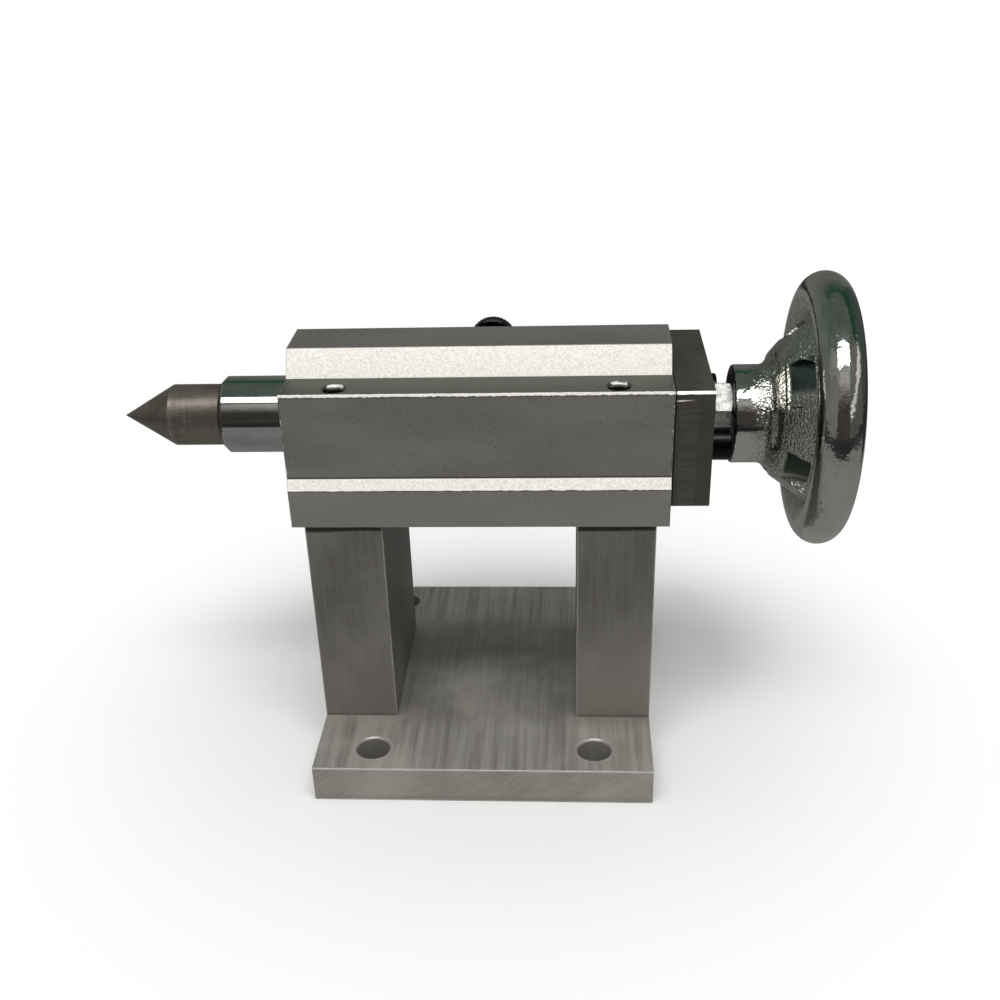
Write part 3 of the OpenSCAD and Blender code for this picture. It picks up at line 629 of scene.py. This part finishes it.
# ---- handwheel ----
wheelForm = {  # mm and degrees
    "hubX": 80.1, "hubR": 15.7, "hubEnd": 104.1, "boreR": 5.05, "bossR": 12.7,
    "rimX": 108.2, "rimMidR": 36.1, "rimR": 7.05, "rimArc": (239.8, -82.2), "rimSteps": 76,  # arc from front to back
    "root": (89.1, 15.7), "shoulder": (92.1, 19.3), "lip": (105.35, 30.54), "thick": 5.7,
    "rootPull": (1.6, 0.2), "neckPull": (0.5, 1.3), "conePull": (1.3, 1.6), "lipPull": (4, 3),
    "windows": 5, "windowIn": 22.4, "windowOut": 27.85, "firstWindow": 41, "windowSpan": 34,
    "windowSteps": 10, "wallCuts": 9, "draft": 2.1, "coneSlope": 1.15, "softFrom": 0.9, "softTo": 108.6,
    "hubDrop": 1.3, "dropIn": (7, 12), "dropOut": (17, 31), "dropBack": (90, 99),  # radius twice, then x
    "grooveDepth": 1.3, "grooveR": 18.9, "grooveWithin": (16, 22.5), "grooveTo": 96,
    "lumpDepth": 0.26, "lumpSize": 2.6, "castFrom": (188, 205), "castTo": (290, 320), "turnSteps": 360,
}


# a point on a Bezier curve with four control points
def curvePoint(a, b, c, d, t):
    return tuple(p * (1 - t) ** 3 + q * 3 * t * (1 - t) ** 2 + r * 3 * t * t * (1 - t) + s * t ** 3
                 for p, q, r, s in zip(a, b, c, d))


# the points of such a curve at given radii, found by halving
def atRadii(curve, radii):
    found = []
    for radius in radii:
        low, high = 0.0, 1.0
        for _ in range(40):
            half = (low + high) / 2
            if curvePoint(*curve, half)[1] < radius:
                low = half
            else:
                high = half
        found.append(curvePoint(*curve, half))
    return found


# n equal steps from a to b, with both ends
def spread(a, b, n):
    return [a + (b - a) * i / n for i in range(n + 1)]


def wheelSection(f):
    (rootX, rootR), (shoulderX, shoulderR), (lipX, lipR) = f["root"], f["shoulder"], f["lip"]
    neck = (f["root"], (rootX + f["rootPull"][0], rootR + f["rootPull"][1]),
            (shoulderX - f["neckPull"][0], shoulderR - f["neckPull"][1]), f["shoulder"])
    cone = (f["shoulder"], (shoulderX + f["conePull"][0], shoulderR + f["conePull"][1]),
            (lipX - f["lipPull"][0], lipR - f["lipPull"][1]), f["lip"])
    backCone = tuple((x + f["thick"], r) for x, r in cone)
    window = spread(f["windowIn"], f["windowOut"], f["windowSteps"])
    rim = [(f["rimX"] + f["rimR"] * math.cos(math.radians(a)), f["rimMidR"] + f["rimR"] * math.sin(math.radians(a)))
           for a in spread(*f["rimArc"], f["rimSteps"])]
    backX = shoulderX + f["thick"]
    # the hub's face, its chamfer and its side
    points = [(f["hubX"], r) for r in spread(f["boreR"], f["hubR"] - 0.8, 12)]
    points += [(f["hubX"] + 0.25, f["hubR"] - 0.25), (f["hubX"] + 0.8, f["hubR"])]
    points += [(x, f["hubR"]) for x in spread(f["hubX"] + 1.4, rootX, 12)]
    # the dish's front out to the rim, round the rim, and the dish's back in to the boss
    points += atRadii(neck, spread(rootR, shoulderR, 9)[1:])
    points += atRadii(cone, spread(shoulderR, f["windowIn"], 5)[1:] + window[1:]
                      + spread(f["windowOut"], rim[0][1], 4)[1:-1])
    points += rim
    points += atRadii(backCone, spread(rim[-1][1], f["windowOut"], 3)[1:-1] + window[::-1]
                      + spread(f["windowIn"], shoulderR, 5)[1:])
    points += [(backX, r) for r in spread(shoulderR, f["bossR"], 10)[1:]]
    # the boss and the bore
    points += [(x, f["bossR"]) for x in spread(backX, f["hubEnd"] - 0.7, 6)[1:]]
    points += [(f["hubEnd"], r) for r in spread(f["bossR"] - 0.7, f["boreR"], 8)]
    points += [(x, f["boreR"]) for x in spread(f["hubEnd"], f["hubX"], 12)[1:-1]]
    return points


# how far an angle is from the middle of its nearest window, degrees
def fromWindow(angle, form):
    period = 360 / form["windows"]
    return (angle - form["firstWindow"] + period / 2) % period - period / 2


def makeWheel(form):
    wheel = drawSection("handwheelCast", wheelSection(form))
    turnOnSpindle(wheel, form["turnSteps"])

    # windows: the skins are opened front and back, less far inwards at the back, and joined by walls
    editOnly(wheel, "FACE")
    mesh = bmesh.from_edit_mesh(wheel.data)
    for face in mesh.faces:
        middle = face.calc_center_median()
        r, angle = polar(middle)
        frontX = form["shoulder"][0] + (r - form["shoulder"][1]) * form["coneSlope"]
        atBack = middle.x / mm > frontX + form["thick"] / 2
        first = form["windowIn"] + (form["draft"] if atBack else 0)
        if first < r < form["windowOut"] and abs(fromWindow(angle, form)) < form["windowSpan"] / 2:
            face.select = True
    bmesh.update_edit_mesh(wheel.data)
    bpy.ops.mesh.delete(type="FACE")
    period = 360 / form["windows"]
    for i in range(form["windows"]):
        bpy.ops.mesh.select_mode(type="EDGE")
        bpy.ops.mesh.select_all(action="DESELECT")
        mesh = bmesh.from_edit_mesh(wheel.data)
        for edge in mesh.edges:
            if edge.is_boundary:
                r, angle = polar((edge.verts[0].co + edge.verts[1].co) / 2)
                away = (angle - form["firstWindow"] - period * i + 180) % 360 - 180
                edge.select = abs(away) < period / 2
        bmesh.update_edit_mesh(wheel.data)
        bpy.ops.mesh.bridge_edge_loops(number_cuts=form["wallCuts"], interpolation="LINEAR")

    # the windows' edges are rounded off
    bpy.ops.mesh.select_all(action="DESELECT")
    bpy.ops.mesh.select_mode(type="VERT")
    mesh = bmesh.from_edit_mesh(wheel.data)
    for vert in mesh.verts:
        r, angle = polar(vert.co)
        away = fromWindow(angle, form)
        fromSide = r * math.radians(abs(abs(away) - form["windowSpan"] / 2))
        fromEnds = min(abs(r - form["windowIn"]), abs(r - form["windowOut"]))
        beside = abs(away) < form["windowSpan"] / 2 + 1.5 and (
            form["windowIn"] - form["softFrom"] < r < form["windowOut"] + 0.8)
        near = fromSide < form["softFrom"] or fromEnds < 0.7
        vert.select = beside and near and vert.co.x / mm < form["softTo"]
    mesh.select_flush_mode()
    bmesh.update_edit_mesh(wheel.data)
    bpy.ops.mesh.vertices_smooth(factor=0.5, repeat=2)
    bpy.ops.mesh.select_all(action="SELECT")
    bpy.ops.mesh.normals_make_consistent(inside=False)
    leaveEdit()

    # where the casting sits low, where it is hollowed at a spoke's root, and where it is rough
    drop = wheel.vertex_groups.new(name="drop")
    groove = wheel.vertex_groups.new(name="groove")
    cast = wheel.vertex_groups.new(name="cast")
    for vert in wheel.data.vertices:
        r, angle = polar(vert.co)
        x = vert.co.x / mm
        fromRim = math.hypot(x - form["rimX"], r - form["rimMidR"])
        onRim = form["rimR"] - 0.02 < fromRim < form["rimR"] + 0.02
        if not onRim and r < form["dropOut"][1]:
            low = eased(r, *form["dropIn"]) * (1 - eased(r, *form["dropOut"])) * (1 - eased(x, *form["dropBack"]))
            drop.add([vert.index], low, "REPLACE")
        away = fromWindow(angle, form)
        spoke = eased(abs(away), form["windowSpan"] / 2 - 2, form["windowSpan"] / 2 + 5)
        grooveStart, grooveEnd = form["grooveWithin"]
        if grooveStart < r < grooveEnd and x < form["grooveTo"]:
            groove.add([vert.index], spoke * (1 - eased(abs(r - form["grooveR"]), 0.3, 1.8)), "REPLACE")
        inWindow = form["windowIn"] - 0.3 < r < form["windowOut"] + 0.3 and abs(away) < form["windowSpan"] / 2 + 0.5
        rough = 0
        if onRim:
            inner = math.degrees(math.atan2(r - form["rimMidR"], x - form["rimX"])) % 360
            rough = eased(inner, *form["castFrom"]) * (1 - eased(inner, *form["castTo"])) * 0.7
        elif not inWindow and r > form["bossR"] + 0.5:
            rough = eased(r, form["hubR"] + 0.05, form["hubR"] + 2.2)
        if rough:
            cast.add([vert.index], rough, "REPLACE")

    shift = wheel.modifiers.new("lowHub", "DISPLACE")
    shift.vertex_group, shift.direction = "drop", "Z"
    shift.mid_level, shift.strength = 0, -form["hubDrop"] * mm
    hollow = wheel.modifiers.new("hollow", "DISPLACE")
    hollow.vertex_group, hollow.direction = "groove", "NORMAL"
    hollow.mid_level, hollow.strength = 0, -form["grooveDepth"] * mm
    fineLumps = (form["lumpSize"], form["lumpDepth"])
    wideLumps = (form["lumpSize"] * 2.6, form["lumpDepth"] * 0.8)
    for number, (size, depth) in enumerate((fineLumps, wideLumps)):
        clouds = bpy.data.textures.new("castLumps" + str(number), "CLOUDS")
        clouds.noise_scale = size * mm
        clouds.noise_depth = 1
        clouds.noise_basis = "ORIGINAL_PERLIN"
        lumps = wheel.modifiers.new("lumps" + str(number), "DISPLACE")
        lumps.texture, lumps.texture_coords = clouds, "LOCAL"
        lumps.vertex_group, lumps.mid_level, lumps.strength = "cast", 0.62, depth * mm
    applyAll(wheel)
    bpy.ops.object.shade_smooth_by_angle(angle=math.radians(40))
    return wheel


chromeLook = {
    "bright": (0.62, 0.62, 0.605), "shade": (0.53, 0.535, 0.52), "hollowShade": (0.20, 0.187, 0.165),
    "paintedGlint": (0.88, 0.865, 0.82), "brown": (0.34, 0.255, 0.15), "seam": (0.04, 0.038, 0.034),
    "pit": (0.07, 0.07, 0.07), "slotShade": (0.055, 0.045, 0.035), "wall": (0.12, 0.175, 0.15),
    "sill": (0.66, 0.63, 0.54), "sillEdge": (0.03, 0.03, 0.028), "face": (0.030, 0.028, 0.027),
    "polished": 0.10, "rough": 0.14, "depth": 0.36,  # roughness twice, then mm
    "sillRise": (88.6, 90.2), "sillFall": (96.5, 95.5), "sillEnd": 94.6, "sillPull": 0.5, "wallPull": 0.9,
    "rimFrom": (-2.48, -2.58), "rimTo": (-0.8, -0.6),  # the polished part of the rim's section, radians
    "hubSand": (86.0, 89.5), "slot": (90.6, 18.6),  # x from and to; x and radius
}


def chromePaint(look, form):
    p = Paint("castChrome")
    up = p.z - axisZ
    r = p.hypot(p.y, up)
    hubUp = up + form["hubDrop"]
    hubR = p.hypot(p.y, hubUp)
    dx, dr = p.x - form["rimX"], r - form["rimMidR"]
    cloud = p.grain(9, detail=3, rough=0.6, shift=3)
    # the rim is polished except where it faces the dish; the hub is polished up to the flare
    onRim = p.ease(p.hypot(dx, dr), form["rimR"] + 0.7, form["rimR"] + 0.3)
    inner = p.node("Math", {"operation": "ARCTAN2"}, {0: dr, 1: dx})
    ragged = p.grain(3.0, detail=3, rough=0.7, shift=31) * 0.5 + cloud * 0.4
    polishedRim = onRim * p.ease(inner + ragged, *look["rimFrom"]).maths("MAXIMUM", p.ease(inner, *look["rimTo"]))
    sandStart, sandEnd = look["hubSand"]
    polishedHub = p.ease(hubR + cloud * 1.2, form["hubR"] + 1.5, form["hubR"] + 1.0)
    polishedHub = polishedHub * p.ease(
        p.x + p.grain(2.2, detail=3, rough=0.7, shift=31) * 7, sandEnd + 3.5, sandStart + 2.0)
    polished = polishedRim.maths("MAXIMUM", polishedHub)
    # the windows' walls nearest the hub are smooth, and carry a painted dark green reflection
    angle = p.node("Math", {"operation": "ARCTAN2"}, {0: up, 1: p.y * -1})
    half = math.pi / form["windows"]
    turned = p.node("Math", {"operation": "WRAP"}, {0: angle - math.radians(form["firstWindow"]), 1: half, 2: -half})
    pastSide = (abs(turned) - math.radians(form["windowSpan"] / 2)) * r
    first, last = form["windowIn"], form["windowOut"]
    pastEnds = abs(r - (first + last) / 2) - (last - first) / 2
    inWindow = p.ease(pastSide.maths("MAXIMUM", pastEnds), 0.7, 0.4)
    wall = inWindow * p.ease(r, first + 3.2, first + 2.2) * p.ease(p.x, 94.8, 96.2)
    wall = wall * (p.ease(turned, -0.16, -0.04) * 0.6 + 0.4)
    # the sill between the hub and the near window lies flatter than the spokes and catches the light, which is also
    # painted on as a highlight
    sill = p.ease(pastSide, 1.6, 0.2) * p.ease(r, first + 0.2, first - 0.4)
    sill = sill * p.ease(p.x, *look["sillRise"]) * p.ease(p.x, *look["sillFall"])
    sill = sill * p.ease(up, 3, 6) * p.ease(p.y, -7, -9)
    polished = polished.maths("MAXIMUM", wall)
    rough = 1 - polished
    sand = p.pebbles(0.85, 1) * 0.6 + p.grain(0.8, detail=2, rough=0.6, shift=1) * 0.7
    fineSand = p.grain(0.45, detail=2, rough=0.6, shift=17)
    ripple = p.grain(2.1, rough=0.5, shift=8)
    tone = p.blend(p.ease(cloud, 0.35, 0.7) * 0.6, look["bright"], look["shade"])
    # painted shade in the hollows of the sand, and painted glints on its tops
    tone = p.blend(p.ease(sand * 0.7 + fineSand * 0.3, 0.62, 0.46) * rough * 0.34, tone, look["hollowShade"])
    tone = p.blend(p.ease(sand * 0.6 + fineSand * 0.4, 0.60, 0.70) * rough * 0.5, tone, look["paintedGlint"])
    # brown tint in the corner above the flare, and a little over the rest of the rough casting
    high = p.ease(up, 8, 14) * p.ease(r, 26, 21) * p.ease(abs(p.y + 9), 14, 6)
    brown = p.ease(p.grain(3.4, detail=3, rough=0.7, shift=6), 0.42, 0.62) * rough
    tone = p.blend(brown * (high * 0.5 + 0.12), tone, look["brown"])
    # a thin rough line left by the mould along the hub, and small pits in the plating
    jag = p.grain(0.8, detail=2, shift=9)
    seamUp = hubUp + (p.y + 15.0) * 0.12 - 1.1
    seam = p.ease(abs(seamUp) + jag * 1.5, 1.75, 1.15) * p.ease(p.y, -13.0, -14.0) * p.ease(p.x, 90.5, 88.5)
    tone = p.blend(seam * 0.92, tone, look["seam"])
    pits = p.ease(p.grain(0.9, detail=1, rough=0.4, shift=12), 0.735, 0.77) * polished
    tone = p.blend(pits * 0.7, tone, look["pit"])
    # painted shade in the smooth slot where a spoke leaves the hub
    slotX, slotR = look["slot"]
    sx, sr = p.x - slotX, hubR - slotR
    slot = p.ease(p.hypot(sx, sr) + jag * 0.6, 1.9, 1.1) * p.ease(abs(hubUp + p.y * 0.1 - 1.5), 7.5, 6.0)
    tone = p.blend(slot * 0.8, tone, look["slotShade"])
    # painted dark green reflection on the windows' walls
    tone = p.blend(wall * 0.9, tone, look["wall"])
    # painted highlight on the sill, with a dark line at its end
    tone = p.blend(sill * p.ease(p.x, 91.5, 92.5) * 0.6, tone, look["sill"])
    tone = p.blend(sill * p.ease(abs(p.x - look["sillEnd"]), 0.35, 0.12), tone, look["sillEdge"])
    # the hub's end face was turned and has no plating; its near-black colour is partly painted shade
    endFace = p.ease(p.x + p.grain(1.1, detail=2, rough=0.7, shift=15) * 1.4, form["hubX"] + 1.2, form["hubX"] + 0.8)
    tone = p.blend(endFace, tone, look["face"])
    roughness = p.level(rough, look["polished"] + cloud * 0.04, look["rough"] + fineSand * 0.14 + slot * 0.15)
    roughness = p.level(endFace.maths("MAXIMUM", seam), roughness, 0.45)
    roughness = p.level(wall, roughness, 0.22)
    height = (sand + fineSand * 0.3) * rough * (1 - slot * 0.8) + ripple * polished * 0.36 - pits * 0.3
    # the sill is shaded as if it faced more to the wheel's back, and the wall as if more to its front
    surface = p.node("NewGeometry", out="Normal")
    pull = p.node("CombineXYZ", None, {0: sill * look["sillPull"] - wall * look["wallPull"]})
    pulled = p.node("VectorMath", {"operation": "ADD"}, {0: surface, 1: pull})
    pulled = p.node("VectorMath", {"operation": "NORMALIZE"}, {0: pulled})
    return p.finish(tone, roughness, p.bump(height, look["depth"], pulled))


wheel = makeWheel(wheelForm)
wheel.data.materials.append(chromePaint(chromeLook, wheelForm))
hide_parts("handwheel")
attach(wheel, "drive")
print("handwheel done:", len(wheel.data.polygons), "faces")


# ---- thumb screw ----
wear(["lock_screw"], blackPaint("blackThumb", blackLook, 1.25, "y"))
softenEdges(["lock_screw"], smallBevel)


# ---- floor, world and lamps ----
studioLook = {
    "floor": (0.95, 0.95, 0.95), "size": 3.0, "far": (85, 190),  # metres; mm from the middle
    "sky": 0.58, "softbox": (2, 65.5, 0.95, 0.86, 0.26, 5.2),  # azimuth, elevation, distance, width, height, watts
    "aimHeight": 0.11,  # metres, of the point that the softbox faces
    "middle": (60, 0, 110), "wallAway": 1500, "wallReach": (-4, 48), "fade": (560, 1150),  # mm, degrees, mm high
    "lid": 1225, "lidHalf": 1250, "lidColour": (0.10, 0.125, 0.105),
}
# grey walls that only reflections see, by azimuth: colour below and colour near the top
wallCards = {
    0: ((0.058, 0.053, 0.048), (0.48, 0.46, 0.43)), 60: ((0.11, 0.105, 0.10), (0.20, 0.19, 0.18)),
    120: ((0.06, 0.08, 0.07), (0.012, 0.06, 0.035)), 180: ((0.16, 0.16, 0.15), (0.02, 0.075, 0.045)),
    240: ((0.15, 0.165, 0.15), (0.09, 0.14, 0.11)), 300: ((0.20, 0.20, 0.19), (0.26, 0.26, 0.25)),
}
# the same on the floor: corners, height in mm and strength
floorCards = {
    "floorFar": ((-1500, -1500), (1500, 1500), 0.6, 0.03),
    "floorFront": ((-340, -350), (560, -61), 1.0, 0.24),
    "floorLeft": ((-340, -61), (-57, 61), 1.0, 0.22),
    "floorRight": ((57, -61), (560, 61), 1.0, 0.24),
    "floorBack": ((-300, 61), (330, 700), 1.0, 0.20),
}
# a light patch to the side, by azimuth and elevation, for the second streak on the rim
patchCard = {"corners": ((28, 10), (34, 20), (98, 36), (98, 22)), "away": 1150, "colour": (0.88, 0.86, 0.83)}


def makeFloor(look):
    bpy.ops.object.select_all(action="DESELECT")
    bpy.ops.mesh.primitive_plane_add(size=look["size"], location=(0, 0, 0))
    floor = bpy.context.active_object
    floor.name = "floor"
    p = Paint("paleFloor")
    away = p.node("VectorMath", {"operation": "LENGTH"}, {0: p.place}, out="Value")
    camera, glossy, clear = p.node("LightPath", out=("Is Camera Ray", "Is Glossy Ray", "Is Transmission Ray"))
    seen = camera.maths("MAXIMUM", glossy).maths("MAXIMUM", clear)
    far = p.ease(away, *look["far"]) * seen
    p.finish(look["floor"], 0.9, metallic=0.0)
    white = p.node("Emission", None, {"Color": (1, 1, 1, 1), "Strength": 1.0})
    both = p.node("MixShader", None, {0: far, 1: Wire(p, p.shader.outputs[0]), 2: white})
    p.tree.links.new(both.socket, p.tree.nodes["Material Output"].inputs["Surface"])
    floor.data.materials.append(p.material)


def makeWorld(look):
    world = bpy.data.worlds.new("studio")
    bpy.context.scene.world = world
    world.use_nodes = True
    tree = world.node_tree
    back = tree.nodes["Background"]
    path = tree.nodes.new("ShaderNodeLightPath")
    white = tree.nodes.new("ShaderNodeMath")
    white.operation = "MAXIMUM"
    tree.links.new(path.outputs["Is Camera Ray"], white.inputs[0])
    tree.links.new(path.outputs["Is Glossy Ray"], white.inputs[1])
    clear = tree.nodes.new("ShaderNodeMath")
    clear.operation = "MAXIMUM"
    tree.links.new(white.outputs[0], clear.inputs[0])
    tree.links.new(path.outputs["Is Transmission Ray"], clear.inputs[1])
    level = tree.nodes.new("ShaderNodeMapRange")
    level.inputs["To Min"].default_value = look["sky"]
    tree.links.new(clear.outputs[0], level.inputs["Value"])
    tree.links.new(level.outputs[0], back.inputs["Strength"])
    back.inputs["Color"].default_value = (1, 1, 1, 1)


# a soft lamp: azimuth 0 is straight in front, turning towards +X, sizes in metres
def makeLamp(name, azimuth, elevation, away, width, height, watts):
    lamp = bpy.data.lights.new(name, "AREA")
    lamp.shape = "RECTANGLE"
    lamp.size, lamp.size_y = width, height
    lamp.energy = watts
    holder = bpy.data.objects.new(name, lamp)
    bpy.context.scene.collection.objects.link(holder)
    turn, lift = math.radians(azimuth), math.radians(elevation)
    side = Vector((math.sin(turn) * math.cos(lift), -math.cos(turn) * math.cos(lift), math.sin(lift)))
    place = Vector((0, 0, studioLook["aimHeight"])) + side * away
    holder.matrix_world = Matrix.Translation(place) @ side.to_track_quat("Z", "Y").to_matrix().to_4x4()


# a slightly cloudy grey card that only reflections see
def makeCard(name, corners, low, high=None):
    mesh = bpy.data.meshes.new(name)
    mesh.from_pydata([Vector(c) * mm for c in corners], [], [(0, 1, 2, 3)])
    card = bpy.data.objects.new(name, mesh)
    bpy.context.scene.collection.objects.link(card)
    p = Paint(name)
    cloud = p.grain(420, detail=2, rough=0.5, shift=len(name)) * 0.7 + 0.65
    glow = p.blend(p.ease(p.z, *studioLook["fade"]), low, high or low)
    lit = p.node("VectorMath", {"operation": "SCALE"}, {0: glow, "Scale": cloud})
    p.tree.links.new(lit.socket, p.shader.inputs["Emission Color"])
    for socket, value in (("Base Color", (0, 0, 0, 1)), ("Roughness", 1.0),
                          ("Specular IOR Level", 0.0), ("Emission Strength", 1.0)):
        p.shader.inputs[socket].default_value = value
    mesh.materials.append(p.material)
    for ray in ("camera", "shadow", "diffuse", "transmission", "volume_scatter"):
        setattr(card, "visible_" + ray, False)


# a corner at an azimuth, an elevation and a distance from the middle of the studio
def around(azimuth, elevation, away):
    turn, lift = math.radians(azimuth), math.radians(elevation)
    x, y, z = studioLook["middle"]
    flat = away * math.cos(lift)
    return (x + flat * math.sin(turn), y - flat * math.cos(turn), z + away * math.sin(lift))


makeFloor(studioLook)
makeWorld(studioLook)
makeLamp("frontSoftbox", *studioLook["softbox"])
low, high = studioLook["wallReach"]
side = 180 / len(wallCards)
for azimuth, colours in wallCards.items():
    corners = [around(azimuth + turn, lift, studioLook["wallAway"])
               for turn, lift in ((-side, low), (side, low), (side, high), (-side, high))]
    makeCard("wall" + str(azimuth), corners, *colours)
for name, ((x0, y0), (x1, y1), z, strength) in floorCards.items():
    makeCard(name, [(x0, y0, z), (x1, y0, z), (x1, y1, z), (x0, y1, z)], (strength, strength, strength * 0.96))
half, lid = studioLook["lidHalf"], studioLook["lid"]
lidCorners = [(-half, -half, lid), (half, -half, lid), (half, half, lid), (-half, half, lid)]
makeCard("lid", lidCorners, studioLook["lidColour"])
makeCard("sidePatch", [around(*c, patchCard["away"]) for c in patchCard["corners"]], patchCard["colour"])
bpy.context.scene.view_settings.view_transform = "Standard"
print("studio done")
